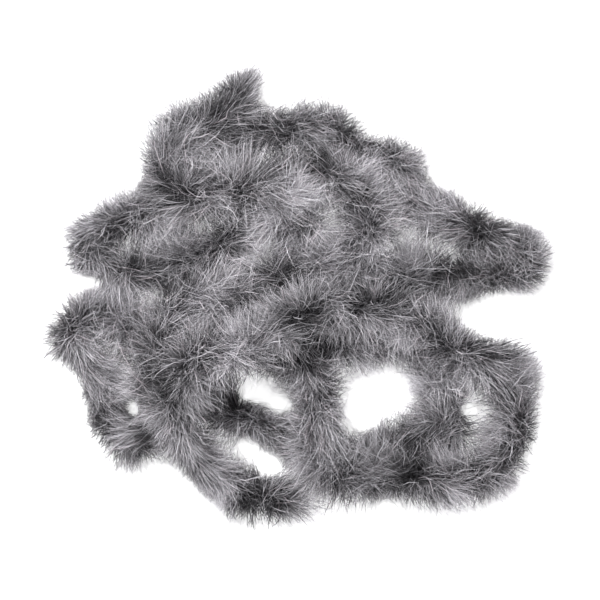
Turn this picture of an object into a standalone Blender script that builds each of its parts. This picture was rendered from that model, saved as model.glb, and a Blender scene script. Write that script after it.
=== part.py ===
"""A feather boa, heaped in loose loops on a flat surface.

A soft core string runs from end to end. A thread is wound round it all the way and binds in short
bunches of down plumes, which make a fluffy rope. Each end of the string has a knot. The boa is one
length that crosses over itself, and both of its ends can be lifted off the heap.

The plan of the route is a list of points. Its heights follow from a rule: a stretch lies on the
surface, or on whatever was laid there before it.
"""

import math

import bpy
import numpy as np
from mathutils import Matrix, Vector

MM = 0.001

# The string and its binding
STRING_RADIUS = 1.5 * MM
BINDING_WALL = 0.5 * MM
KNOT_RADIUS = 3.4 * MM
KNOT_LENGTH = 6.4 * MM

# The dense down round the string. The loose tips of the plumes reach further out.
DOWN_RADIUS = 12.5 * MM
WAIST = 0.92  # the radius at each tie, beside that of the middle of a bunch

# Bunches along the string
BUNCHES = 42  # between the two lifting ends
END_BUNCHES = 2  # short bunches at each end, which the lifting joints lie between
END_BUNCH_LENGTH = 36.0 * MM

# Clearances
FIT_GAP = 0.3 * MM  # between pieces that touch
LAY_GAP = 1.6 * MM  # between a stretch and the one that it lies on
LIFT_ANGLE = math.radians(40.0)  # how far each lifting joint turns

# How the boa lies. A fuller boa lies in wider loops.
ROUTE_STEP = DOWN_RADIUS / 12.5  # one unit of the route's plan
STEEPEST = 0.6  # rise for each unit of length
HUMP_RADIUS = 3.6 * DOWN_RADIUS  # the bend over the top of a crossing
EASING = 1.2 * DOWN_RADIUS  # the length over which each rise is eased
SAME_STRETCH = 3.84 * DOWN_RADIUS  # points nearer than this along the boa don't lie on each other
TOP_TAIL = 203 * ROUTE_STEP  # this much of the start was put down last, on top of the rest
FINE_STEP = 0.24 * DOWN_RADIUS
MOST_LAYERS = 40  # passes that carry the heights up through the heap

# How finely the solids are drawn
DOWN_SIDES = 10
HOLE_SIDES = 6
STRING_BEVEL = 2
LONGEST_SPAN = 30.0 * MM
FEWEST_SPANS = 3
SHARPEST_SPAN = math.radians(40.0)
KNOT_SIDES = 10
KNOT_RINGS = 6

# The plan of the route, from the end at the back to the end at the front
ROUTE = [
    (-43, 156), (-51, 141), (-68, 131), (-89, 116), (-98, 95), (-82, 79), (-54, 80), (-27, 82),
    (-8, 64), (5, 35), (32, 13), (72, 10), (106, 18), (139, 17), (157, 17), (169, 24), (166, 38),
    (151, 45), (133, 50), (115, 60), (84, 74), (74, 97), (44, 107), (23, 124), (0, 126),
    (-26, 122), (-54, 114), (-79, 98), (-106, 72), (-131, 57), (-149, 51), (-159, 39), (-151, 26),
    (-131, 20), (-97, 23), (-69, 29), (-49, 49), (-42, 71), (-26, 86), (-3, 92), (23, 92),
    (42, 79), (51, 54), (42, 30), (15, 20), (-15, 11), (-38, 0), (-43, -17), (-29, -30),
    (0, -35), (38, -30), (72, -29), (97, -39), (106, -68), (111, -92), (98, -110), (74, -115),
    (50, -119), (24, -119), (-3, -107), (-33, -94), (-62, -80), (-85, -68), (-101, -48),
    (-119, -26), (-142, -11), (-165, -15), (-172, -33), (-159, -51), (-148, -73), (-143, -92),
    (-125, -106), (-107, -95), (-103, -69), (-103, -41), (-94, -14), (-71, 0), (-45, -8),
    (-24, -23), (-2, -42), (11, -66), (14, -100), (17, -124), (34, -133), (63, -131),
    (106, -136), (145, -127), (162, -103), (160, -72), (149, -53), (121, -39), (94, -21),
    (60, -8), (23, -6), (-12, -21), (-44, -39), (-75, -44), (-91, -68), (-88, -98), (-71, -125),
    (-44, -143), (-12, -148),
]

WHITE = 1.0
DOWN_GREY = (0.215, 0.21, 0.225)
STRING_GREY = (0.16, 0.155, 0.165)
THREAD_GREY = (0.10, 0.10, 0.108)


def clear_scene():
    """Removes whatever the scene held."""
    for thing in list(bpy.data.objects):
        bpy.data.objects.remove(thing)


def material(name, colour, roughness):
    """A plain Principled material."""
    made = bpy.data.materials.new(name)
    made.use_nodes = True
    shader = made.node_tree.nodes["Principled BSDF"]
    shader.inputs["Base Color"].default_value = (*colour, WHITE)
    shader.inputs["Roughness"].default_value = roughness
    shader.inputs["Metallic"].default_value = 0.0
    return made


# ---------------------------------------------------------------- the route


def smooth_plan(points, per_stretch=24):
    """A centripetal Catmull-Rom curve through the points, which doesn't overshoot at a bend."""
    ends = [2 * points[0] - points[1], 2 * points[-1] - points[-2]]
    held = np.vstack([ends[0], points, ends[1]])
    curve = []
    for a, b, c, d in zip(held, held[1:], held[2:], held[3:]):
        knots = np.cumsum([0.0] + [math.sqrt(np.linalg.norm(q - p)) for p, q in ((a, b), (b, c), (c, d))])
        for t in np.linspace(knots[1], knots[2], per_stretch, endpoint=False):
            curve.append(catmull_rom((a, b, c, d), knots, t))
    curve.append(points[-1])
    return np.array(curve)


def catmull_rom(four, knots, t):
    """One point of the curve through the middle two of four points."""
    row = list(four)
    for level in (1, 2, 3):
        for i in range(4 - level):
            low, high = (knots[1], knots[2]) if level == 3 else (knots[i], knots[i + level])
            share = (t - low) / (high - low)
            row[i] = (1 - share) * row[i] + share * row[i + 1]
    return row[0]


def lengths_along(points):
    """How far along the line each of its points is."""
    return np.concatenate([[0.0], np.cumsum(np.linalg.norm(np.diff(points, axis=0), axis=1))])


def at_lengths(points, where):
    """The points of a line at these lengths along it."""
    along = lengths_along(points)
    return np.stack([np.interp(where, along, points[:, k]) for k in range(points.shape[1])], 1)


def hump(distance):
    """How far the boa comes down at a distance from a high point: a round top, then a slope."""
    bend = STEEPEST * HUMP_RADIUS
    top = distance**2 / (2 * HUMP_RADIUS)
    return np.where(distance < bend, top, STEEPEST * distance - STEEPEST * bend / 2)


def settled_heights(plan, along, floor_height):
    """The height of each point of the route, lying on the surface or on what is below it.

    The opening tail was put down last, and the rest in order from there to the far end.
    """
    turn_of = np.where(along < TOP_TAIL, along[-1] + along, along)
    apart = np.linalg.norm(plan[:, None] - plan[None], axis=2)
    between = np.abs(along[:, None] - along[None])
    thick = 2 * DOWN_RADIUS + LAY_GAP
    over = (apart < thick) & (between > SAME_STRETCH) & (turn_of[:, None] > turn_of[None])
    rise = np.sqrt(np.maximum(thick**2 - apart**2, 0.0))
    drop = hump(between)
    height = np.full(len(plan), floor_height)
    for _ in range(MOST_LAYERS):
        carried = np.where(over, height[None] + rise, floor_height).max(1)
        height = (carried[None] - drop).max(1)
    return height


def eased(values, step):
    """A running average, which takes the kinks out of the heights."""
    reach = max(int(round(EASING / step / 2)), 1)
    padded = np.pad(values, reach, mode="edge")
    window = np.ones(2 * reach + 1) / (2 * reach + 1)
    return np.convolve(padded, window, "valid")


def boa_line():
    """The centre line of the boa as points close together, in metres."""
    plan = smooth_plan(np.array(ROUTE, float) * ROUTE_STEP)
    length = lengths_along(plan)[-1]
    along = np.linspace(0.0, length, int(round(length / FINE_STEP)) + 1)
    plan = at_lengths(plan, along)
    floor_height = WAIST * DOWN_RADIUS * math.cos(math.pi / DOWN_SIDES)
    height = eased(settled_heights(plan, along, floor_height), along[1])
    return np.column_stack([plan, height])


# ---------------------------------------------------------------- where each piece starts and ends


def tie_lengths(length):
    """How far along the boa each tie between two bunches is, both ends among them."""
    short = [END_BUNCH_LENGTH * k for k in range(END_BUNCHES + 1)]
    middle = length - 2 * short[-1]
    ties = [short[-1] + middle * k / BUNCHES for k in range(BUNCHES + 1)]
    return short[:-1] + ties + [length - s for s in reversed(short[:-1])]


def stations(line, start, end):
    """Lengths from start to end, close enough together to follow the bends."""
    fine = np.linspace(start, end, 65)
    points = at_lengths(line, fine)
    way = np.diff(points, axis=0)
    way /= np.linalg.norm(way, axis=1)[:, None]
    bends = np.arccos(np.clip((way[1:] * way[:-1]).sum(1), -1.0, 1.0))
    effort = np.diff(fine) / LONGEST_SPAN
    effort[1:] += bends / SHARPEST_SPAN
    total = np.concatenate([[0.0], np.cumsum(effort)])
    count = max(math.ceil(total[-1]), FEWEST_SPANS)
    return list(np.interp(np.linspace(0.0, total[-1], count + 1), total, fine))


class Frames:
    """The centre, heading, side and upward direction at any length along a line."""

    def __init__(self, line):
        self.line = line
        self.length = lengths_along(line)[-1]

    def at(self, where):
        reach = FINE_STEP
        low, high = max(where - reach, 0.0), min(where + reach, self.length)
        before, centre, after = at_lengths(self.line, [low, where, high])
        heading = (after - before) / np.linalg.norm(after - before)
        side = np.cross((0.0, 0.0, 1.0), heading)
        side /= np.linalg.norm(side)
        return centre, heading, side, np.cross(heading, side)


# ---------------------------------------------------------------- solids


def ring(frames, where, radius, sides):
    """A ring of points round the line, with a flat side down. What would sink is pressed flat."""
    centre, _, side, up = frames.at(where)
    turns = -math.pi / 2 + math.pi / sides + 2 * math.pi * np.arange(sides) / sides
    points = centre + radius * (np.cos(turns)[:, None] * side + np.sin(turns)[:, None] * up)
    points[:, 2] = np.maximum(points[:, 2], 0.0)
    return points


def new_object(name, points, faces, finish):
    """One closed mesh with its material."""
    mesh = bpy.data.meshes.new(name)
    mesh.from_pydata([tuple(p) for p in points], [], faces)
    mesh.shade_smooth()
    mesh.materials.append(finish)
    made = bpy.data.objects.new(name, mesh)
    bpy.context.scene.collection.objects.link(made)
    return made


def wall_faces(first, rings, sides, outwards):
    """The four-sided faces between rings of points that follow one another from first."""
    faces = []
    for k in range(rings - 1):
        for i in range(sides):
            j = (i + 1) % sides
            a, b = first + k * sides + i, first + k * sides + j
            face = (a, b, b + sides, a + sides)
            faces.append(face if outwards else face[::-1])
    return faces


def cap_faces(outer, outer_sides, inner, inner_sides, facing_back):
    """The ring-shaped end between an outer and an inner ring of different counts."""
    faces = []
    i = j = 0
    while i < outer_sides or j < inner_sides:
        a, b = outer + i % outer_sides, inner + j % inner_sides
        if j >= inner_sides or (i < outer_sides and (i + 1) / outer_sides <= (j + 1) / inner_sides):
            face = (a, b, outer + (i + 1) % outer_sides)
            i += 1
        else:
            face = (a, b, inner + (j + 1) % inner_sides)
            j += 1
        faces.append(face if facing_back else face[::-1])
    return faces


def sleeve(name, frames, profile, hole, hole_sides, sides, finish):
    """A tube round the line. The profile lists the length and the outer radius of each ring."""
    outer = [ring(frames, where, radius, sides) for where, radius in profile]
    inner = [ring(frames, where, hole, hole_sides) for where, _ in profile]
    count = len(profile)
    inner_first = count * sides
    faces = wall_faces(0, count, sides, True)
    faces += wall_faces(inner_first, count, hole_sides, False)
    faces += cap_faces(0, sides, inner_first, hole_sides, True)
    last_outer, last_inner = (count - 1) * sides, inner_first + (count - 1) * hole_sides
    faces += cap_faces(last_outer, sides, last_inner, hole_sides, False)
    return new_object(name, np.vstack(outer + inner), faces, finish)


def bunch_radius(share):
    """The radius of the dense down along a bunch: narrow at its ties and full between them."""
    return DOWN_RADIUS * (WAIST + (1 - WAIST) * math.sin(math.pi * share) ** 0.5)


def bunch_profile(spots, kind_start, kind_end):
    """The rings of one bunch. An end is a plain tie, a lifting joint or a free end."""
    tight = hole_radius() + 1.0 * MM
    set_back = {"tie": FIT_GAP / 2, "joint": joint_set_back(tight), "free": 0.0}
    start, end = spots[0], spots[-1]
    ends = {"tie": bunch_radius(0.0), "joint": tight, "free": tight}
    profile = [(start + set_back[kind_start], ends[kind_start])]
    profile += [(where, bunch_radius((where - start) / (end - start))) for where in spots[1:-1]]
    profile.append((end - set_back[kind_end], ends[kind_end]))
    return profile


def hole_radius():
    """The hole through the down, round the string and its binding."""
    sides_allowance = 1 / math.cos(math.pi / HOLE_SIDES)
    return (STRING_RADIUS + FIT_GAP + BINDING_WALL + FIT_GAP) * sides_allowance


def joint_set_back(radius):
    """How far a piece stops short of a lifting joint, so that it clears its neighbour when lifted."""
    return radius * math.tan(LIFT_ANGLE / 2) + FIT_GAP


def string_piece(name, frames, wheres, finish):
    """A length of the core string: a bevelled curve with filled ends."""
    data = bpy.data.curves.new(name, "CURVE")
    data.dimensions = "3D"
    data.bevel_depth = STRING_RADIUS
    data.bevel_resolution = STRING_BEVEL
    data.use_fill_caps = True
    spline = data.splines.new("POLY")
    spline.points.add(len(wheres) - 1)
    for point, where in zip(spline.points, wheres):
        point.co = (*frames.at(where)[0], 1.0)
    data.materials.append(finish)
    made = bpy.data.objects.new(name, data)
    bpy.context.scene.collection.objects.link(made)
    return made


def knot(name, frames, end, outwards, finish):
    """The knot at an end of the string: a ball drawn out a little along it."""
    centre, heading, side, up = frames.at(end)
    heading = heading * outwards
    middle = centre + heading * (FIT_GAP + KNOT_LENGTH / 2)
    points = [middle - heading * KNOT_LENGTH / 2]
    for k in range(1, KNOT_RINGS):
        lean = math.pi * k / KNOT_RINGS
        for i in range(KNOT_SIDES):
            turn = 2 * math.pi * i / KNOT_SIDES * outwards
            around = math.cos(turn) * side + math.sin(turn) * up
            along = -math.cos(lean) * KNOT_LENGTH / 2
            points.append(middle + heading * along + around * math.sin(lean) * KNOT_RADIUS)
    points.append(middle + heading * KNOT_LENGTH / 2)
    last = len(points) - 1
    faces = wall_faces(1, KNOT_RINGS - 1, KNOT_SIDES, True)
    for i in range(KNOT_SIDES):
        j = (i + 1) % KNOT_SIDES
        faces.append((0, 1 + j, 1 + i))
        faces.append((last, last - KNOT_SIDES + i, last - KNOT_SIDES + j))
    return new_object(name, points, faces, finish)


# ---------------------------------------------------------------- the boa


def make_bunches(frames, spans, finish):
    """The bunches of down, numbered from the end at the back."""
    count = len(spans)
    joints = set(range(1, END_BUNCHES + 1)) | {count - k for k in range(1, END_BUNCHES + 1)}
    kinds = ["joint" if k in joints else "tie" for k in range(count + 1)]
    kinds[0] = kinds[-1] = "free"
    for k, spots in enumerate(spans):
        profile = bunch_profile(spots, kinds[k], kinds[k + 1])
        sleeve(f"plume_bunch_{k + 1:02d}", frames, profile, hole_radius(), HOLE_SIDES, DOWN_SIDES, finish)


def make_core(frames, spans, string_finish, thread_finish):
    """The string and the thread wound round it, in the lengths that the lifting joints part."""
    singles = [[span] for span in spans]
    ends = singles[:END_BUNCHES], singles[-END_BUNCHES:]
    pieces = [*ends[0], spans[END_BUNCHES:-END_BUNCHES], *ends[1]]
    names = ["back_tip", "back_tail", "middle", "front_tail", "front_tip"]
    binding_hole = STRING_RADIUS + FIT_GAP
    binding_outer = binding_hole + BINDING_WALL
    corner = 1 / math.cos(math.pi / HOLE_SIDES)
    back = joint_set_back(binding_outer)
    for k, (name, piece) in enumerate(zip(names, pieces)):
        wheres = [piece[0][0]] + [where for span in piece for where in span[1:]]
        if k > 0:
            wheres[0] += back
        if k < len(names) - 1:
            wheres[-1] -= back
        string_piece(f"core_string_{name}", frames, wheres, string_finish)
        profile = [(where, binding_outer * corner) for where in wheres]
        hole = binding_hole * corner
        sleeve(f"binding_thread_{name}", frames, profile, hole, HOLE_SIDES, HOLE_SIDES, thread_finish)


def centre_on_origin():
    """Moves every solid so that the boa stands on the origin, under the middle of its box."""
    solids = [thing for thing in bpy.data.objects if thing.type == "MESH"]
    points = np.array([vertex.co for thing in solids for vertex in thing.data.vertices])
    middle = (points.min(0) + points.max(0)) / 2
    offset = Vector((-middle[0], -middle[1], 0.0))
    for thing in bpy.data.objects:
        thing.data.transform(Matrix.Translation(offset))
    return offset


def pivot(name, frames, where, outwards, offset):
    """An empty on a lifting joint. Turning it about its own X axis lifts what lies outwards."""
    centre, _, side, _ = frames.at(where)
    made = bpy.data.objects.new(name, None)
    made.location = Vector(centre) + offset
    made.rotation_euler.z = math.atan2(-outwards * side[1], -outwards * side[0])
    bpy.context.scene.collection.objects.link(made)
    return made


def hang_on(parent, children):
    """Parents the children without moving them."""
    bpy.context.view_layer.update()
    for child in children:
        child.parent = parent
        child.matrix_parent_inverse = parent.matrix_world.inverted()


def make_pivots(frames, spans, offset):
    """The four lifting joints: each end has a tail, and a tip that bends from the tail."""
    count = len(spans)
    for end, outwards, bunches in (("back", -1, (1, 0)), ("front", 1, (count - 2, count - 1))):
        above = None
        for part, k in zip(("tail", "tip"), bunches):
            where = spans[k][-1] if outwards < 0 else spans[k][0]
            joint = pivot(f"{end}_{part}_lift", frames, where, outwards, offset)
            named = [f"plume_bunch_{k + 1:02d}", f"core_string_{end}_{part}", f"binding_thread_{end}_{part}"]
            if part == "tip":
                named.append(f"end_knot_{end}")
            hang_on(joint, [bpy.data.objects[name] for name in named])
            if above is not None:
                hang_on(above, [joint])
            above = joint


def main():
    clear_scene()
    frames = Frames(boa_line())
    ties = tie_lengths(frames.length)
    down = material("down", DOWN_GREY, 0.95)
    string_finish = material("string", STRING_GREY, 0.85)
    thread_finish = material("thread", THREAD_GREY, 0.6)
    spans = [stations(frames.line, low, high) for low, high in zip(ties, ties[1:])]
    make_bunches(frames, spans, down)
    make_core(frames, spans, string_finish, thread_finish)
    knot("end_knot_back", frames, 0.0, -1, string_finish)
    knot("end_knot_front", frames, frames.length, 1, string_finish)
    offset = centre_on_origin()
    make_pivots(frames, spans, offset)


main()
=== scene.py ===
"""The looks of a heaped feather boa: its plumage, core string, binding thread and end knots.

The boa is one soft string with plumes bound to it all the way. Each plume is drawn as what it is, a
spray of fine barbs that gather into locks, and every barb is a narrow ribbon with its own curve. The
barbs lie against the floor where the boa rests on it.
"""

import math

import bpy
import numpy as np
from bpy.props import FloatProperty, FloatVectorProperty, IntProperty, PointerProperty
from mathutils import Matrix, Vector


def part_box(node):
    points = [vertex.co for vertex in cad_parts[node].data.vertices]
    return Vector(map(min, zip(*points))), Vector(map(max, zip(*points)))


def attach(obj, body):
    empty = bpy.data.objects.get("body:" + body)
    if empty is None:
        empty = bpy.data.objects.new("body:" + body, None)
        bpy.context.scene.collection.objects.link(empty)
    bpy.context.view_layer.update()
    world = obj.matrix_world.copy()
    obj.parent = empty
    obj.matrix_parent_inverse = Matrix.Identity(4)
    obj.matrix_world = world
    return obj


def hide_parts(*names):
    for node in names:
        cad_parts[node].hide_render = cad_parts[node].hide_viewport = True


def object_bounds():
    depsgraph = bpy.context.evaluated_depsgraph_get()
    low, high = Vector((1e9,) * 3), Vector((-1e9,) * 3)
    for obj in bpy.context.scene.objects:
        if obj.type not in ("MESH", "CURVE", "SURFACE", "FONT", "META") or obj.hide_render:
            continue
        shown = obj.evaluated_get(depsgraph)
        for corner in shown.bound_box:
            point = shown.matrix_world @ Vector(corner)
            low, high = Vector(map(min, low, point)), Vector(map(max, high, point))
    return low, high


bl_info = {
    "name": "Feather Boa",
    "version": (1, 0, 0),
    "blender": (4, 5, 0),
    "location": "View3D > Sidebar > Feather Boa",
    "description": "Dresses the solids of a heaped feather boa with plumes, string, thread and knots",
    "category": "Object",
}

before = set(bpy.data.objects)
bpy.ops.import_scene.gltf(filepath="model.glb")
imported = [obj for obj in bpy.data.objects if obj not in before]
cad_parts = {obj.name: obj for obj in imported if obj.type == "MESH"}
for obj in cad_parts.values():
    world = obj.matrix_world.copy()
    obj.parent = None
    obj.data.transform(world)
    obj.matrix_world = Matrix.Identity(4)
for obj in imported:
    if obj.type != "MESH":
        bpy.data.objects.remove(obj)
CAD_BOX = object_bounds()
MM = 0.001

# The solids' own sizes, which the route and the joints depend on
STRING_RADIUS = 1.5 * MM
DOWN_RADIUS = 12.5 * MM
WAIST = 0.92
BUNCHES = 42
END_BUNCHES = 2
END_BUNCH_LENGTH = 36.0 * MM
FIT_GAP = 0.3 * MM
LAY_GAP = 1.6 * MM
KNOT_LENGTH = 6.4 * MM
DOWN_SIDES = 10

# How the boa lies
ROUTE_STEP = DOWN_RADIUS / 12.5
STEEPEST = 0.6
HUMP_RADIUS = 3.6 * DOWN_RADIUS
EASING = 1.2 * DOWN_RADIUS
SAME_STRETCH = 3.84 * DOWN_RADIUS
TOP_TAIL = 203 * ROUTE_STEP
FINE_STEP = 0.24 * DOWN_RADIUS
MOST_LAYERS = 40

# The plan of the route in millimetres, from the end at the back to the end at the front
ROUTE = [
    (-43, 156), (-51, 141), (-68, 131), (-89, 116), (-98, 95), (-82, 79), (-54, 80), (-27, 82),
    (-8, 64), (5, 35), (32, 13), (72, 10), (106, 18), (139, 17), (157, 17), (169, 24), (166, 38),
    (151, 45), (133, 50), (115, 60), (84, 74), (74, 97), (44, 107), (23, 124), (0, 126),
    (-26, 122), (-54, 114), (-79, 98), (-106, 72), (-131, 57), (-149, 51), (-159, 39), (-151, 26),
    (-131, 20), (-97, 23), (-69, 29), (-49, 49), (-42, 71), (-26, 86), (-3, 92), (23, 92),
    (42, 79), (51, 54), (42, 30), (15, 20), (-15, 11), (-38, 0), (-43, -17), (-29, -30),
    (0, -35), (38, -30), (72, -29), (97, -39), (106, -68), (111, -92), (98, -110), (74, -115),
    (50, -119), (24, -119), (-3, -107), (-33, -94), (-62, -80), (-85, -68), (-101, -48),
    (-119, -26), (-142, -11), (-165, -15), (-172, -33), (-159, -51), (-148, -73), (-143, -92),
    (-125, -106), (-107, -95), (-103, -69), (-103, -41), (-94, -14), (-71, 0), (-45, -8),
    (-24, -23), (-2, -42), (11, -66), (14, -100), (17, -124), (34, -133), (63, -131),
    (106, -136), (145, -127), (162, -103), (160, -72), (149, -53), (121, -39), (94, -21),
    (60, -8), (23, -6), (-12, -21), (-44, -39), (-75, -44), (-91, -68), (-88, -98), (-71, -125),
    (-44, -143), (-12, -148),
]

# Where no plumage reaches: the middle and half-widths of ellipses on the plan, in millimetres, and
# their tilt. The first eight form the five openings, and the others shape the outline.
GAPS = [
    ((-124.6, -82.8), (5.4, 6.6), 0.0),
    ((-32.0, -72.6), (13.0, 7.4), -0.1),
    ((-17.5, -77.8), (12.6, 7.2), -0.4),
    ((-38.5, -113.5), (10.5, 7.2), -0.3),
    ((-24.5, -123.5), (13.0, 7.4), -0.5),
    ((60.5, -70.5), (19.5, 13.6), 0.25),
    ((47.0, -84.0), (13.6, 17.0), -0.15),
    ((125.0, -84.0), (6.8, 5.8), 0.73),
    ((166.0, -12.6), (52.0, 15.6), 0.0),
    ((-169.6, 12.6), (27.0, 5.0), 0.0),
    ((-20.8, 153.3), (8.9, 10.4), 0.0),
    ((-128.0, 95.0), (9.6, 11.6), 0.0),
    ((-178.5, -88.0), (18.6, 36.0), 0.0),
    ((-87.0, -152.0), (36.0, 15.4), -0.74),
    ((174.5, 71.5), (30.0, 16.4), -0.42),
    ((108.5, 95.0), (10.4, 11.9), 0.0),
    ((66.0, -160.0), (12.0, 10.6), 0.0),
    ((181.0, -149.0), (25.0, 17.0), 0.75),
    ((199.5, -90.0), (17.0, 44.0), 0.0),
]

# Where the plumage spreads less or more: a place on the plan that plumes point at and its reach, in
# millimetres, and the share of the full length that those plumes have
FULLNESS_PLACES = [
    ((-30.0, -97.0), 22.0, 0.7),
    ((84.0, 42.0), 26.0, 1.4),
    ((-87.0, 50.0), 30.0, 1.35),
    ((-29.0, 32.0), 28.0, 1.25),
    ((19.0, 55.0), 24.0, 1.25),
    ((-26.0, 104.0), 16.0, 1.2),
    ((-127.0, -56.0), 20.0, 1.4),
    ((54.0, -52.0), 20.0, 1.5),
    ((80.0, -92.0), 22.0, 1.55),
    ((28.0, -80.0), 18.0, 1.35),
    ((138.0, -84.0), 16.0, 1.6),
    ((-38.0, -62.0), 18.0, 1.5),
    ((-52.0, -110.0), 14.0, 1.15),
    ((-110.0, 128.0), 38.0, 1.35),
    ((25.0, 150.0), 30.0, 1.15),
    ((86.0, 112.0), 20.0, 1.2),
    ((-188.0, 38.0), 22.0, 1.35),
    ((-190.0, -30.0), 22.0, 1.2),
    ((-160.0, -112.0), 16.0, 1.2),
    ((158.0, -34.0), 22.0, 1.7),
    ((190.0, 36.0), 20.0, 1.15),
    ((25.0, -154.0), 22.0, 1.4),
    ((125.0, -158.0), 24.0, 1.3),
    ((-30.0, -168.0), 24.0, 1.3),
    ((-176.0, -72.0), 22.0, 0.66),
    ((-90.0, -150.0), 26.0, 0.6),
    ((168.0, 74.0), 24.0, 0.62),
    ((104.0, 94.0), 14.0, 0.62),
    ((182.0, -120.0), 22.0, 0.74),
    ((188.0, -70.0), 24.0, 0.84),
    ((66.0, -156.0), 16.0, 0.78),
]


# ---------------------------------------------------------------- the route


def catmull_rom(four, knots, t):
    """One point of the curve through the middle two of four points."""
    row = list(four)
    for level in (1, 2, 3):
        for i in range(4 - level):
            low, high = (knots[1], knots[2]) if level == 3 else (knots[i], knots[i + level])
            share = (t - low) / (high - low)
            row[i] = (1 - share) * row[i] + share * row[i + 1]
    return row[0]


def smooth_plan(points, per_stretch=24):
    """A centripetal Catmull-Rom curve through the points, which doesn't overshoot at a bend."""
    ends = [2 * points[0] - points[1], 2 * points[-1] - points[-2]]
    held = np.vstack([ends[0], points, ends[1]])
    curve = []
    for a, b, c, d in zip(held, held[1:], held[2:], held[3:]):
        knots = np.cumsum([0.0] + [math.sqrt(np.linalg.norm(q - p)) for p, q in ((a, b), (b, c), (c, d))])
        for t in np.linspace(knots[1], knots[2], per_stretch, endpoint=False):
            curve.append(catmull_rom((a, b, c, d), knots, t))
    curve.append(points[-1])
    return np.array(curve)


def lengths_along(points):
    """How far along the line each of its points is."""
    return np.concatenate([[0.0], np.cumsum(np.linalg.norm(np.diff(points, axis=0), axis=1))])


def at_lengths(points, where):
    """The points of a line at these lengths along it."""
    along = lengths_along(points)
    return np.stack([np.interp(where, along, points[:, k]) for k in range(points.shape[1])], 1)


def hump(distance):
    """How far the boa comes down at a distance from a high point: a round top, then a slope."""
    bend = STEEPEST * HUMP_RADIUS
    top = distance**2 / (2 * HUMP_RADIUS)
    return np.where(distance < bend, top, STEEPEST * distance - STEEPEST * bend / 2)


def settled_heights(plan, along, floor_height):
    """The height of each point of the route, lying on the surface or on what is below it."""
    turn_of = np.where(along < TOP_TAIL, along[-1] + along, along)
    apart = np.linalg.norm(plan[:, None] - plan[None], axis=2)
    between = np.abs(along[:, None] - along[None])
    thick = 2 * DOWN_RADIUS + LAY_GAP
    over = (apart < thick) & (between > SAME_STRETCH) & (turn_of[:, None] > turn_of[None])
    rise = np.sqrt(np.maximum(thick**2 - apart**2, 0.0))
    drop = hump(between)
    height = np.full(len(plan), floor_height)
    for _ in range(MOST_LAYERS):
        carried = np.where(over, height[None] + rise, floor_height).max(1)
        height = (carried[None] - drop).max(1)
    return height


def eased(values, step):
    """A running average, which takes the kinks out of the heights."""
    reach = max(int(round(EASING / step / 2)), 1)
    padded = np.pad(values, reach, mode="edge")
    window = np.ones(2 * reach + 1) / (2 * reach + 1)
    return np.convolve(padded, window, "valid")


def boa_line():
    """The centre line of the boa on its own plan, as points close together."""
    plan = smooth_plan(np.array(ROUTE, float) * ROUTE_STEP)
    length = lengths_along(plan)[-1]
    along = np.linspace(0.0, length, int(round(length / FINE_STEP)) + 1)
    plan = at_lengths(plan, along)
    floor_height = WAIST * DOWN_RADIUS * math.cos(math.pi / DOWN_SIDES)
    height = eased(settled_heights(plan, along, floor_height), along[1])
    return np.column_stack([plan, height])


class Boa:
    """The centre line in the frame, with its frames and the lengths where its pieces meet."""

    def __init__(self):
        line = boa_line()
        before = line[0] - line[1]
        knot = line[0] + before / np.linalg.norm(before) * (FIT_GAP + KNOT_LENGTH / 2)
        low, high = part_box("end_knot_back")
        self.offset = (np.array(low) + np.array(high)) / 2 - knot
        self.offset[2] = 0.0
        self.line = line + self.offset
        self.along = lengths_along(self.line)
        self.length = self.along[-1]
        ahead = np.gradient(self.line, axis=0)
        self.headings = ahead / np.linalg.norm(ahead, axis=1)[:, None]

    def ties(self):
        """How far along the boa each tie between two bunches is, both ends among them."""
        short = [END_BUNCH_LENGTH * k for k in range(END_BUNCHES + 1)]
        middle = self.length - 2 * short[-1]
        ties = [short[-1] + middle * k / BUNCHES for k in range(BUNCHES + 1)]
        return short[:-1] + ties + [self.length - s for s in reversed(short[:-1])]

    def at(self, where):
        """The centres, headings, sides and upward directions at these lengths."""
        where = np.clip(where, 0.0, self.length)
        centre = np.stack([np.interp(where, self.along, self.line[:, k]) for k in range(3)], 1)
        heading = np.stack([np.interp(where, self.along, self.headings[:, k]) for k in range(3)], 1)
        heading /= np.linalg.norm(heading, axis=1)[:, None]
        side = np.cross((0.0, 0.0, 1.0), heading)
        side /= np.linalg.norm(side, axis=1)[:, None]
        return centre, heading, side, np.cross(heading, side)


BOA = Boa()
STRETCHES = ["back_tip", "back_tail", "middle", "front_tail", "front_tip"]
BODY_OF = {
    "back_tip": "back_tip",
    "back_tail": "back_tail",
    "middle": "heap",
    "front_tail": "front_tail",
    "front_tip": "front_tip",
}


def stretch_ends():
    """Where each stretch between two lifting joints starts and ends."""
    ties = BOA.ties()
    marks = [ties[0], ties[1], ties[2], ties[-3], ties[-2], ties[-1]]
    return dict(zip(STRETCHES, zip(marks, marks[1:])))


def body_of_bunch(k):
    """The body that the bunch of this number rides on, counting from 0."""
    count = len(BOA.ties()) - 1
    named = {0: "back_tip", 1: "back_tail", count - 2: "front_tail", count - 1: "front_tip"}
    return named.get(k, "heap")


# ---------------------------------------------------------------- what a user would change


def length_setting(name, description, default):
    """A length in metres, shown in the scene's unit."""
    return FloatProperty(name=name, description=description, default=default, min=0.0, unit="LENGTH")


def colour_setting(name, description, default):
    """A colour with three parts."""
    return FloatVectorProperty(
        name=name, description=description, default=default, size=3, min=0.0, max=1.0, subtype="COLOR"
    )


def share_setting(name, description, default):
    """A plain number from 0 to 1."""
    return FloatProperty(
        name=name, description=description, default=default, min=0.0, max=1.0, subtype="FACTOR"
    )


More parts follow.
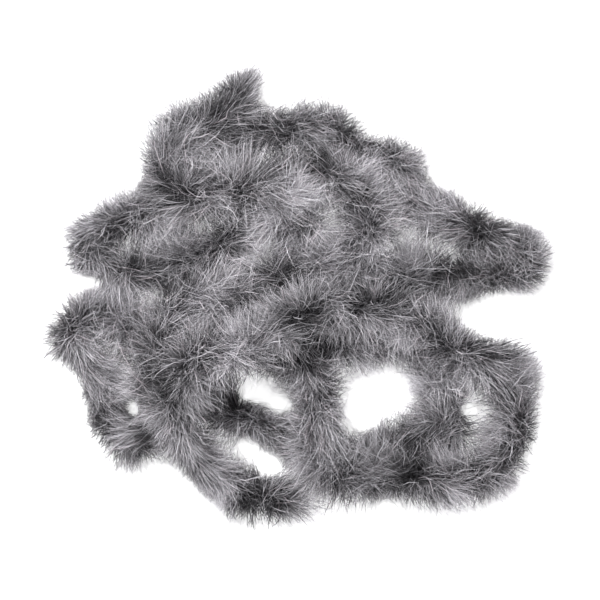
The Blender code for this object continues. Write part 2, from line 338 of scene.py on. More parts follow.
class BOA_PG_sizes(bpy.types.PropertyGroup):
    """The sizes of the plumage and of what holds it."""

    plume_length: length_setting("Plume length", "From the string to the tips of a full plume", 0.035)
    inner_length: length_setting("Inner down", "Length of the short down next to the string", 0.019)
    barb_width: length_setting("Barb width", "Width of one barb at its thickest", 0.00034)
    plumes_per_metre: IntProperty(
        name="Plumes per metre", description="How many plumes are bound to a metre of string", default=1150
    )
    locks: IntProperty(name="Locks", description="Locks of barbs in each plume", default=16)
    barbs: IntProperty(name="Barbs", description="Barbs in each lock", default=5)
    thread_radius: length_setting("Thread radius", "Half the thickness of the binding thread", 0.00022)
    thread_pitch: length_setting("Thread pitch", "How far apart the turns of the thread are", 0.0026)
    seed: IntProperty(name="Seed", description="Starts the random choices", default=11)


class BOA_PG_colours(bpy.types.PropertyGroup):
    """The colours of the boa and of the stage."""

    down_root: colour_setting("Down at the root", "The shaded foot of each barb", (0.010, 0.0095, 0.0115))
    down_tip: colour_setting("Down at the tip", "The lit end of each barb", (0.80, 0.78, 0.825))
    down_blush: colour_setting("Blush", "The faint warm cast of some locks", (0.84, 0.69, 0.745))
    tone_spread: share_setting("Tone spread", "How much the locks differ in lightness", 0.85)
    string: colour_setting("String", "Twisted cotton", (0.16, 0.155, 0.165))
    thread: colour_setting("Thread", "Binding thread", (0.10, 0.10, 0.108))
    floor: colour_setting("Floor", "The table that the boa lies on", (0.86, 0.86, 0.86))


# ---------------------------------------------------------------- materials


class Tree:
    """The nodes of one material."""

    def __init__(self, name):
        self.material = bpy.data.materials.new(name)
        self.material.use_nodes = True
        self.nodes = self.material.node_tree.nodes
        self.links = self.material.node_tree.links
        self.shader = self.nodes["Principled BSDF"]

    def node(self, kind, settings=None, sockets=None):
        """A new node: its settings first, then the values or links of its sockets."""
        made = self.nodes.new(kind)
        for key, value in (settings or {}).items():
            if key == "stops":
                set_stops(made.color_ramp, value)
            else:
                setattr(made, key, value)
        for key, value in (sockets or {}).items():
            self.feed(made.inputs[key], value)
        return made

    def feed(self, socket, value):
        """Links a wrapped socket, or sets a plain value."""
        if isinstance(value, Field):
            self.links.new(value.socket, socket)
        else:
            socket.default_value = value

    def field(self, node, output=0):
        """One of a node's outputs, ready for arithmetic."""
        return Field(self, node.outputs[output])

    def mixed(self, share, low, high):
        """A colour between two others."""
        node = self.node("ShaderNodeMix", {"data_type": "RGBA"}, {0: share, 6: low, 7: high})
        return self.field(node, 2)

    def scaled(self, colour, amount):
        """A colour made lighter or darker."""
        node = self.node("ShaderNodeVectorMath", {"operation": "SCALE"}, {0: colour, "Scale": amount})
        return self.field(node, 0)

    def ramp(self, share, stops):
        """A value read off a ramp of (place, value) stops."""
        stops = [(place, (value, value, value, 1.0)) for place, value in stops]
        return self.field(self.node("ShaderNodeValToRGB", {"stops": stops}, {"Fac": share}))

    def noise(self, scale, detail=3.0):
        """A value between 0 and 1 that wanders through the piece."""
        vector = self.field(self.node("ShaderNodeTexCoord"), "Object")
        made = self.node("ShaderNodeTexNoise", {}, {"Scale": scale, "Detail": detail, "Vector": vector})
        return self.field(made, "Fac")

    def set(self, **plain):
        """Sets the shader's own sockets, by their names with underscores."""
        for key, value in plain.items():
            self.feed(self.shader.inputs[key.replace("_", " ")], value)


def set_stops(ramp, stops):
    """Puts stops of (place, colour) on a ramp that starts with two."""
    for k, (place, colour) in enumerate(stops):
        stop = ramp.elements[k] if k < 2 else ramp.elements.new(place)
        stop.position = place
        stop.color = colour


class Field:
    """A number that varies over a surface. Arithmetic on it adds Math nodes."""

    def __init__(self, tree, socket):
        self.tree = tree
        self.socket = socket

    def _math(self, operation, first, second):
        node = self.tree.node("ShaderNodeMath", {"operation": operation}, {0: first, 1: second})
        return self.tree.field(node)

    def __add__(self, other):
        return self._math("ADD", self, other)

    def __sub__(self, other):
        return self._math("SUBTRACT", self, other)

    def __rsub__(self, other):
        return self._math("SUBTRACT", other, self)

    def __mul__(self, other):
        return self._math("MULTIPLY", self, other)


def opaque(colour):
    """A colour with its fourth part."""
    return (*colour, 1.0)


def down_material(colours):
    """Dyed down, with light and shade painted into it. Its map holds a barb's tone across it, and up it
    the painted light, which grows from root to tip and is less where down lies over the barb.
    """
    tree = Tree("down_plumes")
    place = tree.field(tree.node("ShaderNodeUVMap", {"uv_map": "OFBake"}))
    parts = tree.node("ShaderNodeSeparateXYZ", {}, {0: place})
    tone, painted_light = tree.field(parts, 0), tree.field(parts, 1)
    # Painted light and shade along each barb: from the painted-dark root colour to the lit tip colour
    lit = tree.ramp(painted_light, [(0.0, 0.0), (0.3, 0.1), (0.6, 0.55), (1.0, 1.0)])
    plain = tree.mixed(lit, opaque(colours.down_root), opaque(colours.down_tip))
    blush = tree.ramp(tone, [(0.0, 0.0), (0.60, 0.0), (0.66, 0.55), (0.72, 0.0)])
    warm = tree.mixed(blush * painted_light, plain, opaque(colours.down_blush))
    lightness = tree.ramp(tone, [(0.0, 0.0), (0.25, 0.32), (0.5, 0.5), (0.8, 0.72), (1.0, 1.0)])
    swing = (lightness - 0.5) * (2 * colours.tone_spread)
    tree.set(Base_Color=tree.scaled(warm, swing * (1.0 - painted_light * 0.45) + 1.0))
    tree.set(Roughness=0.72, Specular_IOR_Level=0.25)
    return tree.material


def twisted_material(name, colour, scale, roughness):
    """Spun fibre, with fine darker and lighter flecks."""
    tree = Tree(name)
    flecks = tree.noise(scale)
    lightness = flecks * 0.8 + 0.6
    tree.set(Base_Color=tree.scaled(tuple(colour), lightness), Roughness=roughness)
    bump = tree.node("ShaderNodeBump", {}, {"Strength": 0.4, "Distance": 0.0002, "Height": flecks})
    tree.set(Normal=tree.field(bump), Specular_IOR_Level=0.3)
    return tree.material


def floor_material(colour):
    """A plain light table top."""
    tree = Tree("table_top")
    shade = tree.noise(3.0, 2.0) * 0.02 + 0.99
    tree.set(Base_Color=tree.scaled(tuple(colour), shade), Roughness=0.9)
    tree.set(Specular_IOR_Level=0.1, Emission_Color=(1.0, 1.0, 1.0, 1.0), Emission_Strength=0.9)
    return tree.material


# ---------------------------------------------------------------- meshes

SHUT_RADIUS = 0.01 * MM  # of a tube's ends


def new_piece(name, points, quads, finish, map_points=None):
    """A mesh of four-sided faces from arrays, with a map of one point for each vertex."""
    mesh = bpy.data.meshes.new(name)
    mesh.vertices.add(len(points))
    mesh.vertices.foreach_set("co", np.ascontiguousarray(points, np.float32).ravel())
    corners = np.ascontiguousarray(quads, np.int32)
    mesh.loops.add(corners.size)
    mesh.loops.foreach_set("vertex_index", corners.ravel())
    mesh.polygons.add(len(corners))
    mesh.polygons.foreach_set("loop_start", np.arange(0, corners.size, 4, dtype=np.int32))
    mesh.update(calc_edges=True)
    mesh.shade_smooth()
    if map_points is not None:
        layer = mesh.uv_layers.new(name="OFBake")
        layer.data.foreach_set("uv", map_points[corners.ravel()].astype(np.float32).ravel())
    mesh.materials.append(finish)
    made = bpy.data.objects.new(name, mesh)
    bpy.context.scene.collection.objects.link(made)
    return made


def tube_quads(rings, sides):
    """The faces of an open tube of rings."""
    k = np.arange(rings - 1)[:, None] * sides
    i = np.arange(sides)[None]
    j = (i + 1) % sides
    return np.stack([k + i, k + j, k + j + sides, k + i + sides], 2).reshape(-1, 4)


def tube(centres, across, over, radii):
    """Points of rings round a line. radii has a row for each ring."""
    sides = radii.shape[1]
    turns = 2 * math.pi * np.arange(sides) / sides
    round_ = np.cos(turns)[None, :, None] * across[:, None] + np.sin(turns)[None, :, None] * over[:, None]
    return centres[:, None] + radii[:, :, None] * round_


def closed_tube(name, centres, across, over, radii, finish):
    """A tube whose ends are drawn in to a point."""
    sides = radii.shape[1]
    shut = np.full((1, sides), SHUT_RADIUS)
    centres = np.vstack([centres[:1], centres, centres[-1:]])
    across = np.vstack([across[:1], across, across[-1:]])
    over = np.vstack([over[:1], over, over[-1:]])
    points = tube(centres, across, over, np.vstack([shut, radii, shut]))
    return new_piece(name, points.reshape(-1, 3), tube_quads(len(centres), sides), finish)


# ---------------------------------------------------------------- plumage

STEPS = np.linspace(0.0, 1.0, 7)  # the points along each barb
BARB_SHAPE = np.array([0.6, 1.0, 1.0, 0.85, 0.62, 0.36, 0.1])  # its width at each of them
WAVE_TURNS = 1.4  # how many times a barb swings from root to tip
LEAST_SPAN = 0.8  # a barb that curls back on itself counts as ending this far out
MAP_HALF_WIDTH = 0.004
MAP_ROOT, MAP_RISE = 0.01, 0.98  # where the map starts, and how far it goes from there
TONE_LIMITS = 0.02, 0.98
FLOOR_CLEARANCE = 0.3 * MM
RIBBON_CLEARANCE = 0.1 * MM

# How far past the solids the plumage may reach, to the sides and above them
EDGE_SHARE, EDGE_MARGIN = 0.03, 9.6 * MM
EDGE = (np.array(CAD_BOX[1]) * (1 + 2 * EDGE_SHARE) + EDGE_MARGIN)[:2]
EDGE_ROOM = 5.0 * MM  # the tips are drawn in over this much of it
CEILING = CAD_BOX[1][2] + 11.0 * MM

# How the barbs end at a gap
EDGE_SLACK = 8.0 * MM  # how far a slack of one moves the edge of the heap
KEPT_SHARES = np.linspace(1.0, 0.25, 14)  # the shares of its length that a barb may keep
KEPT_CHECKS = 0.6, 1.0  # how far along a barb is looked at

# How the down lying over a place keeps the light from it: painted shade, put into the colour of the barbs
# there
SHELTER_STEP = np.array([4.0, 4.0, 3.0]) * MM
SHELTER_MARGIN = 22.0 * MM
SHELTER_REACH = 14.0 * MM
SHELTER_STRENGTH = 1.3
SHELTER_BLUR = 3  # in steps, to each side

# How the plumes are brushed. Weights are across the string, over it, and the same all round.
LEAN, SWIRL, FULLNESS, SHADE = range(4)
DRIFT = FULLNESS  # they start from the same seed
LEAN_LENGTH, LEAN_WEIGHTS = 22.0 * MM, (0.6, 0.7, 0.4)
SWIRL_LENGTH, SWIRL_WEIGHTS = 26.0 * MM, (0.5, 0.8, 0.4)
SHADE_LENGTH, SHADE_SIZE = 32.0 * MM, 0.16
FULLNESS_LENGTH, FULLNESS_SIZE = 30.0 * MM, 0.07
DRIFT_WAVES = 9
DRIFT_LENGTHS = 38.0 * MM, 80.0 * MM  # the shortest and longest sweep of the brushed patches
DRIFT_ALL_ROUND, DRIFT_ON_TOP = 0.15, 0.95
END_TUFT = 24.0 * MM  # the plumes this near an end of the string fan out past it
END_LEAN, END_LEAN_POWER = 2.2, 1.5

# How loosely the down under the boa lies against the floor. A tail that lifts shows it.
PRESS_ROOM = 3.0 * MM
END_PRESS_ROOM = 11.0 * MM
END_PRESS_LENGTH = 2 * END_BUNCH_LENGTH + 1 * MM  # for bunches that start this near an end

# The plumes. LENGTHS, WIDTHS, TIPS and ROOTS hold the least and the most. WAY, BEND, CURVE, WAVE
# and TONE say how far a plume, lock or barb strays from what it belongs to.
GOLDEN_ANGLE = 2.399963  # between one plume and the next, in radians
BUNCH_TURN = 71.0  # in radians for each metre, so that the bunches don't repeat
TURN_SPREAD, BRUSHING_SPREAD = 0.25, 0.22
STANDING = (1.0, 1.0, 0.75)  # how the plumes stand, before they are brushed
SETTLING = (1.0, 1.0, 0.85)  # and how they sink afterwards
PLUME_AIM = 0.65  # how far along a plume its place in the heap is read
PLUME_LENGTHS = 0.74, 1.1
PLUME_BEND, BRUSHED_BEND = 0.30, 0.32
PLUME_TONE = 0.09

# The locks of each plume
LOCK_WAY, LOCK_BEND, LOCK_WAVE, LOCK_TONE, LOCK_SLACK = 0.38, 0.22, 0.06, 0.2, 0.12
LOCK_LENGTHS = 0.62, 1.06
LOCK_ROOT = 1.6 * MM

# The barbs of each lock
BARB_WAY, BARB_TURN_BACK, BARB_CURVE, BARB_DROOP = 0.19, 0.3, 0.17, 0.16
BARB_LENGTHS, BARB_WIDTHS, BARB_TIPS = (0.84, 1.05), (0.6, 1.15), (0.85, 1.0)
BARB_ROOTS = 0.5 * MM, 4.0 * MM  # out from the middle of the string
BARB_SLACK = 0.02, 0.07  # the middle and the spread
MIDDLE_TONE, BARB_TONE = 0.44, 0.14

# Some barbs stray from their lock, some are thicker strands, and a few are long low wisps
STRAY_SHARE, STRAND_SHARE, WISP_SHARE = 0.26, 0.2, 0.07
STRAY_WAY, STRAY_CURVE, WISP_CURVE = 0.24, 0.30, 0.2
STRAY_LENGTH, WISP_LENGTH = 1.14, 1.2
STRAY_WIDTH, STRAND_WIDTH, WISP_WIDTH = 0.75, 1.6, 0.8
STRAND_TONE, WISP_SLACK = 0.3, 0.28  # added to a barb's own
WISP_PRESS = 0.3  # as a share of a barb's own

# The inner down
INNER_BARBS = 18  # for each plume
INNER_WAY, INNER_CURVE = 0.6, 0.5
INNER_AIM = 0.9  # how far along a barb its place in the heap is read
INNER_LEAST_SHARE = 0.7
INNER_LENGTHS, INNER_WIDTHS = (0.35, 1.1), (1.4, 2.8)
# The inner down is painted darker than the plumes, in its tone and its tip: painted shade deep in the heap
# next to the string
INNER_TONE, INNER_SLACK = (0.36, 0.12), (-0.25, 0.1)  # the middle and the spread of each
INNER_TIP = 0.5
INNER_ROOT, INNER_PRESS = 1.2 * MM, 1.5 * MM


class Shelter:
    """How much down lies over each place in the heap, which keeps the light from it. This shade is painted
    into the colour of the barbs.
    """

    def __init__(self):
        low, high = np.array(CAD_BOX[0]) - SHELTER_MARGIN, np.array(CAD_BOX[1]) + SHELTER_MARGIN
        self.low = low * (1.0, 1.0, 0.0)
        self.count = np.ceil((high - self.low) / SHELTER_STEP).astype(int) + 1
        axes = [self.low[k] + SHELTER_STEP[k] * np.arange(self.count[k]) for k in range(3)]
        line = BOA.line[::2]
        away = [(axis[:, None] - line[None, :, k]) ** 2 for k, axis in enumerate(axes)]
        near = [np.exp(-square / SHELTER_REACH**2) for square in away]
        down = np.einsum("xi,yi,zi->xyz", *near, optimize=True)
        down *= np.linalg.norm(line[1] - line[0]) / SHELTER_REACH
        over = np.cumsum(down[:, :, ::-1], axis=2)[:, :, ::-1] - down
        over *= SHELTER_STEP[2] / SHELTER_REACH
        shifts = range(-SHELTER_BLUR, SHELTER_BLUR + 1)
        for axis in (0, 1):
            over = sum(np.roll(over, k, axis) for k in shifts) / len(shifts)
        self.over = over

    def light(self, points):
        """The share of the light that reaches each point, which lowers the painted light of the barb
        there.
        """
        place = (points - self.low) / SHELTER_STEP
        cell = np.clip(np.round(place).astype(int), 0, self.count - 1)
        return np.exp(-SHELTER_STRENGTH * self.over[cell[..., 0], cell[..., 1], cell[..., 2]])


SHELTER = Shelter()


def unit(vectors):
    """Vectors brought to a length of one."""
    return vectors / np.maximum(np.linalg.norm(vectors, axis=-1, keepdims=True), 1e-9)


def wander(rng, count, where, wavelength):
    """Smooth random curves along the boa, one for each of count, read at these lengths."""
    marks = np.arange(0.0, BOA.length + 2 * wavelength, wavelength)
    heights = rng.normal(size=(count, len(marks)))
    place = where / wavelength
    low = np.floor(place).astype(int)
    share = place - low
    share = share * share * (3 - 2 * share)
    return heights[:, low] * (1 - share) + heights[:, low + 1] * share


class Flow:
    """How the plumes are brushed along the boa: their lean, their swirl and how full they are."""

    def __init__(self, seed):
        rng = np.random.default_rng(seed)
        self.seeds = rng.integers(0, 2**31, 4)

    def read(self, which, where, wavelength, count=1):
        """Curves along the boa that are the same each time they are read."""
        return wander(np.random.default_rng(self.seeds[which]), count, where, wavelength)

    def all_round(self, which, where, turn, wavelength, weights):
        """A brushing that differs round the string as well as along it."""
        waves = self.read(which, where, wavelength, 3)
        across, over, even = weights
        return across * waves[0] * np.cos(turn) + over * waves[1] * np.sin(turn) + even * waves[2]

    def lean(self, where, turn):
        """How far the plumes are brushed along the boa."""
        return self.all_round(LEAN, where, turn, LEAN_LENGTH, LEAN_WEIGHTS)

    def swirl(self, where, turn):
        """How far they are brushed round the string."""
        return self.all_round(SWIRL, where, turn, SWIRL_LENGTH, SWIRL_WEIGHTS)

    def drift(self, plan):
        """Which way plumes that stand up have been brushed over, the same for neighbouring limbs."""
        rng = np.random.default_rng(self.seeds[DRIFT])
        way = np.zeros((len(plan), 3))
        for _ in range(DRIFT_WAVES):
            ahead = rng.uniform(0.0, 2 * math.pi)
            wave = np.array([math.cos(ahead), math.sin(ahead)]) * 2 * math.pi / rng.uniform(*DRIFT_LENGTHS)
            swing = np.sin(plan @ wave + rng.uniform(0.0, 2 * math.pi))
            way[:, :2] += swing[:, None] * rng.normal(size=2)
        return way * math.sqrt(2 / DRIFT_WAVES)

    def shade(self, where):
        """How much lighter or darker the dye has taken."""
        return SHADE_SIZE * self.read(SHADE, where, SHADE_LENGTH)[0]

    def fullness(self, where):
        """The length of the plumes beside that of full ones."""
        return 1.0 + FULLNESS_SIZE * self.read(FULLNESS, where, FULLNESS_LENGTH)[0]


def length_share(places):
    """The share of their full length that plumes pointing at these places of the frame have."""
    plan = places[:, :2] - BOA.offset[:2]
    share = np.ones(len(plan))
    for middle, reach, there in FULLNESS_PLACES:
        away = np.linalg.norm(plan - np.array(middle) * MM, axis=1) / (reach * MM)
        share *= 1 - (1 - there) * np.exp(-(away**2))
    return share


def in_a_gap(plan, slack):
    """Whether each place of the plan is in a gap, or past the heap's edge. Slack moves each edge."""
    past = np.abs(plan + BOA.offset[:2]) + slack[:, None] * EDGE_SLACK > EDGE
    inside = past.any(1)
    for middle, (wide, high), tilt in GAPS:
        turn = np.array([[math.cos(tilt), math.sin(tilt)], [-math.sin(tilt), math.cos(tilt)]])
        size = np.array([wide, high]) * MM
        inside |= np.linalg.norm((plan - np.array(middle) * MM) @ turn.T / size, axis=1) < 1 - slack
    return inside


def kept_out(root, begin, curve, reach, slack):
    """How much of its length each barb keeps, so that it ends at the edge of a gap in the heap."""
    roots = root[:, :2] - BOA.offset[:2]
    starts, curves = reach[:, None] * begin[:, :2], reach[:, None] * curve[:, :2]
    keep = np.ones(len(roots))
    for share in KEPT_SHARES:
        for t in KEPT_CHECKS:
            place = roots + share * (t * starts + t * t * curves)
            keep = np.where(in_a_gap(place, slack), share, keep)
    return keep


class Barbs:
    """Many barbs at once: where each is rooted, its ways at the root and tip, and its length."""

    def __init__(self, root, start, curve, length, width, tone, tip_tone, press, wave=None):
        self.root = root
        self.wave = wave
        self.start = start
        self.curve = curve
        self.length = length
        self.width = width
        self.tone = tone
        self.tip_tone = tip_tone
        self.press = press

    def points(self):
        """The points along each barb, kept above the floor, inside the edge and under the ceiling."""
        t = STEPS[None, :, None]
        reach = self.length[:, None, None]
        points = self.root[:, None] + reach * (t * self.start[:, None] + t**2 * self.curve[:, None])
        if self.wave is not None:
            way, phase = self.wave
            swing = np.sin(phase[:, None] + 2 * math.pi * WAVE_TURNS * STEPS[None]) * STEPS[None]
            points += reach * way[:, None] * swing[:, :, None]
        lowest = FLOOR_CLEARANCE + self.press[:, None] * STEPS[None]
        points[:, :, 2] = np.maximum(points[:, :, 2], lowest)
        past = np.maximum(np.abs(points[:, :, :2]) - (EDGE - EDGE_ROOM), 0.0)
        points[:, :, :2] -= np.sign(points[:, :, :2]) * (past - EDGE_ROOM * np.tanh(past / EDGE_ROOM))
        points[:, :, 2] = np.minimum(points[:, :, 2], CEILING)
        return points

    def ribbons(self, rng):
        """The vertices, faces and map of a narrow ribbon along each barb."""
        points = self.points()
        count, steps = points.shape[:2]
        way = unit(np.gradient(points, axis=1))
        across = unit(np.cross(way, unit(rng.normal(size=(count, 1, 3)))))
        half = (self.width[:, None] * BARB_SHAPE[None] / 2)[:, :, None]
        both = np.stack([points - half * across, points + half * across], 2)
        both[..., 2] = np.maximum(both[..., 2], RIBBON_CLEARANCE)
        first = (np.arange(count) * steps * 2)[:, None] + np.arange(steps - 1)[None] * 2
        quads = np.stack([first, first + 1, first + 3, first + 2], 2).reshape(-1, 4)
        tones = self.tone[:, None] + np.array([-MAP_HALF_WIDTH, MAP_HALF_WIDTH])[None]
        mapped = np.empty((count, steps, 2, 2))
        mapped[..., 0] = tones[:, None, :]
        # The map's second part is painted light: it grows from the root to the tip, and painted shade
        # lowers it where down lies over the barb
        lit = STEPS[None] * self.tip_tone[:, None] * SHELTER.light(points)
        mapped[..., 1] = (MAP_ROOT + MAP_RISE * lit)[:, :, None]
        return both.reshape(-1, 3), quads, mapped.reshape(-1, 2)


def span(begin, curve):
    """How far a barb of reach one ends from its root."""
    return np.maximum(np.linalg.norm(begin + curve, axis=1), LEAST_SPAN)


def each(values, count):
    """Every value as often as it has locks or barbs."""
    return np.repeat(values, count, axis=0)


def end_lean(where):
    """How far the plumes near either end of the string fan out past it."""
    before = np.clip(1 - where / END_TUFT, 0.0, 1.0)
    after = np.clip(1 - (BOA.length - where) / END_TUFT, 0.0, 1.0)
    return END_LEAN * (after**END_LEAN_POWER - before**END_LEAN_POWER)


def press_room(where):
    """How much room there is between the floor and the down that lies on it."""
    near_an_end = min(where, BOA.length - where) < END_PRESS_LENGTH
    return END_PRESS_ROOM if near_an_end else PRESS_ROOM


def plume_barbs(rng, flow, sizes, start, end):
    """The barbs of the plumes bound between two lengths of the string."""
    plumes = max(int(round((end - start) * sizes.plumes_per_metre)), 1)
    order = np.arange(plumes)
    where = start + (end - start) * (order + rng.uniform(0.0, 1.0, plumes)) / plumes
    turn = order * GOLDEN_ANGLE + rng.normal(0.0, TURN_SPREAD, plumes) + start * BUNCH_TURN
    turn %= 2 * math.pi
    centre, heading, side, up = BOA.at(where)
    out = np.cos(turn)[:, None] * side + np.sin(turn)[:, None] * up
    round_ = -np.sin(turn)[:, None] * side + np.cos(turn)[:, None] * up
    lean = flow.lean(where, turn) + rng.normal(0.0, BRUSHING_SPREAD, plumes) + end_lean(where)
    swirl = flow.swirl(where, turn) + rng.normal(0.0, BRUSHING_SPREAD, plumes)
    sweep = lean[:, None] * heading + swirl[:, None] * round_
    upward = np.clip(out[:, 2], 0.0, 1.0)[:, None]
    sweep += flow.drift(centre[:, :2]) * (DRIFT_ALL_ROUND + DRIFT_ON_TOP * upward)
    way = unit(out * STANDING + sweep) * SETTLING
    aim = centre + PLUME_AIM * sizes.plume_length * way
    full = sizes.plume_length * flow.fullness(where) * length_share(aim)
    length = full * rng.uniform(*PLUME_LENGTHS, plumes)
    bend = PLUME_BEND * unit(rng.normal(size=(plumes, 3))) + BRUSHED_BEND * sweep
    tone = rng.normal(0.0, PLUME_TONE, plumes) + flow.shade(where)

    locks = sizes.locks
    total = plumes * locks
    lock_way = unit(each(way, locks) + LOCK_WAY * rng.normal(size=(total, 3)))
    lock_bend = each(bend, locks) + LOCK_BEND * rng.normal(size=(total, 3))
    lock_length = each(length, locks) * rng.uniform(*LOCK_LENGTHS, total)
    lock_tone = each(tone, locks) + rng.normal(0.0, LOCK_TONE, total)
    lock_root = rng.normal(size=(total, 3)) * LOCK_ROOT
    lock_wave = LOCK_WAVE * rng.normal(size=(total, 3))
    lock_phase = rng.uniform(0.0, 2 * math.pi, total)

    barbs = sizes.barbs
    total = plumes * locks * barbs
    spread = BARB_WAY * rng.normal(size=(total, 3))
    begin = each(lock_way, barbs) + spread
    curve = each(lock_bend, barbs) - BARB_TURN_BACK * spread + BARB_CURVE * rng.normal(size=(total, 3))
    curve[:, 2] -= BARB_DROOP
    stray = rng.random(total) < STRAY_SHARE
    begin[stray] += STRAY_WAY * rng.normal(size=(stray.sum(), 3))
    curve[stray] += STRAY_CURVE * rng.normal(size=(stray.sum(), 3))
    strand = rng.random(total) < STRAND_SHARE
    wisp = rng.random(total) < WISP_SHARE
    curve[wisp] += WISP_CURVE * rng.normal(size=(wisp.sum(), 3))
    reach = each(lock_length, barbs) * rng.uniform(*BARB_LENGTHS, total)
    reach *= np.where(stray, STRAY_LENGTH, 1.0) * np.where(wisp, WISP_LENGTH, 1.0)
    root = each(centre, locks * barbs)
    root += each(out, locks * barbs) * rng.uniform(*BARB_ROOTS, (total, 1))
    root += each(lock_root, barbs)
    reach /= span(begin, curve)
    slack = each(rng.normal(0.0, LOCK_SLACK, plumes * locks), barbs) + rng.normal(*BARB_SLACK, total)
    slack += np.where(wisp, WISP_SLACK, 0.0)
    reach *= kept_out(root, begin, curve, reach, slack)
    width = sizes.barb_width * rng.uniform(*BARB_WIDTHS, total)
    width *= np.where(strand, STRAND_WIDTH, np.where(stray, STRAY_WIDTH, 1.0))
    width *= np.where(wisp, WISP_WIDTH, 1.0)
    tones = MIDDLE_TONE + each(lock_tone, barbs) + rng.normal(0.0, BARB_TONE, total)
    tones = np.clip(tones + STRAND_TONE * strand, *TONE_LIMITS)
    press = rng.uniform(0.0, 1.0, total) * press_room(where[0]) * np.where(wisp, WISP_PRESS, 1.0)
    wave = each(lock_wave, barbs), each(lock_phase, barbs)
    return Barbs(root, begin, curve, reach, width, tones, rng.uniform(*BARB_TIPS, total), press, wave)


def inner_barbs(rng, sizes, start, end):
    """The short crumpled down next to the string, which lets no light through. It is painted darker, as
    shade deep in the heap.
    """
    total = int(round((end - start) * sizes.plumes_per_metre * INNER_BARBS))
    where = rng.uniform(start, end, total)
    turn = rng.uniform(0.0, 2 * math.pi, total)
    centre, _, side, up = BOA.at(where)
    out = np.cos(turn)[:, None] * side + np.sin(turn)[:, None] * up
    begin = out + INNER_WAY * rng.normal(size=(total, 3))
    curve = INNER_CURVE * rng.normal(size=(total, 3))
    aim = centre + INNER_AIM * sizes.inner_length * unit(begin + curve)
    reach = sizes.inner_length * rng.uniform(*INNER_LENGTHS, total)
    reach *= np.maximum(length_share(aim), INNER_LEAST_SHARE) ** 2
    reach /= span(begin, curve)
    reach *= kept_out(centre, begin, curve, reach, rng.normal(*INNER_SLACK, total))
    width = sizes.barb_width * rng.uniform(*INNER_WIDTHS, total)
    tones = np.clip(rng.normal(*INNER_TONE, total), *TONE_LIMITS)
    root = centre + out * INNER_ROOT
    tip_tone, press = np.full(total, INNER_TIP), np.full(total, INNER_PRESS)
    return Barbs(root, begin, curve, reach, width, tones, tip_tone, press)


def join(parts):
    """Several sets of vertices, faces and maps as one."""
    firsts = np.cumsum([0] + [len(points) for points, _, _ in parts[:-1]])
    points = np.vstack([p for p, _, _ in parts])
    quads = np.vstack([q + first for (_, q, _), first in zip(parts, firsts)])
    return points, quads, np.vstack([m for _, _, m in parts])


# ---------------------------------------------------------------- operators

# The view from straight above
VIEW_WIDTH = 0.4463
VIEW_LEVEL = 30.0 * MM  # above the floor, where the view is this wide
CAMERA_HEIGHT = 2.6
CAMERA_SHIFT = -1.5 * MM
FLOOR_HALF = 8.0

# The string is two strands with a groove between them
STRING_STEP = 1.6 * MM
STRING_SIDES = 12
STRING_TWIST = 5.0 * MM  # the length of one full turn
STRING_GROOVE = 0.26  # as a share of the radius
STRING_FLECKS, STRING_ROUGHNESS = 900.0, 0.85

THREAD_INSET = 1.0 * MM  # from each end of its stretch
THREAD_STEPS, THREAD_SIDES = 9, 5  # round each turn, and round the thread
THREAD_FLECKS, THREAD_ROUGHNESS = 1500.0, 0.55

KNOT_LOOP, KNOT_LIFT, KNOT_STRAND_RADIUS = 0.72 * MM, 0.95 * MM, 1.0 * MM
KNOT_STEPS, KNOT_SIDES = 72, 10


def settings():
    """The sizes and colours that the panel shows."""
    return bpy.context.scene.boa_sizes, bpy.context.scene.boa_colours


class BOA_OT_stage(bpy.types.Operator):
    """Sets up the camera, the floor and the light"""

    bl_idname = "boa.stage"
    bl_label = "Stage"

    def execute(self, context):
        _, colours = settings()
        self.camera(context)
        self.light(context)
        mesh = bpy.data.meshes.new("table_top")
        corners = [(x * FLOOR_HALF, y * FLOOR_HALF, 0) for x, y in ((-1, -1), (1, -1), (1, 1), (-1, 1))]
        mesh.from_pydata(corners, [], [(0, 1, 2, 3)])
        mesh.materials.append(floor_material(colours.floor))
        floor = bpy.data.objects.new("table_top", mesh)
        context.scene.collection.objects.link(floor)
        return {"FINISHED"}

    def camera(self, context):
        """Looks straight down from high above the heap."""
        data = bpy.data.cameras.new("camera")
        data.sensor_width = 36.0
        data.lens = data.sensor_width * (CAMERA_HEIGHT - VIEW_LEVEL) / VIEW_WIDTH
        data.clip_end = 50.0
        camera = bpy.data.objects.new("camera", data)
        camera.location = (BOA.offset[0], BOA.offset[1] + CAMERA_SHIFT, CAMERA_HEIGHT)
        context.scene.collection.objects.link(camera)
        context.scene.camera = camera

    def light(self, context):
        """An even white surround, with one broad soft light from the back left."""
        world = bpy.data.worlds.new("surround")
        world.use_nodes = True
        back = world.node_tree.nodes["Background"]
        back.inputs["Color"].default_value = (1.0, 1.0, 1.0, 1.0)
        back.inputs["Strength"].default_value = 0.55
        context.scene.world = world
        context.scene.view_settings.view_transform = "Standard"
        data = bpy.data.lights.new("soft_box", "AREA")
        data.shape = "DISK"
        data.size = 0.7
        data.energy = 62.0
        light = bpy.data.objects.new("soft_box", data)
        light.location = (-0.7, 0.8, 1.7)
        light.rotation_euler = (-light.location).to_track_quat("-Z", "Y").to_euler()
        context.scene.collection.objects.link(light)


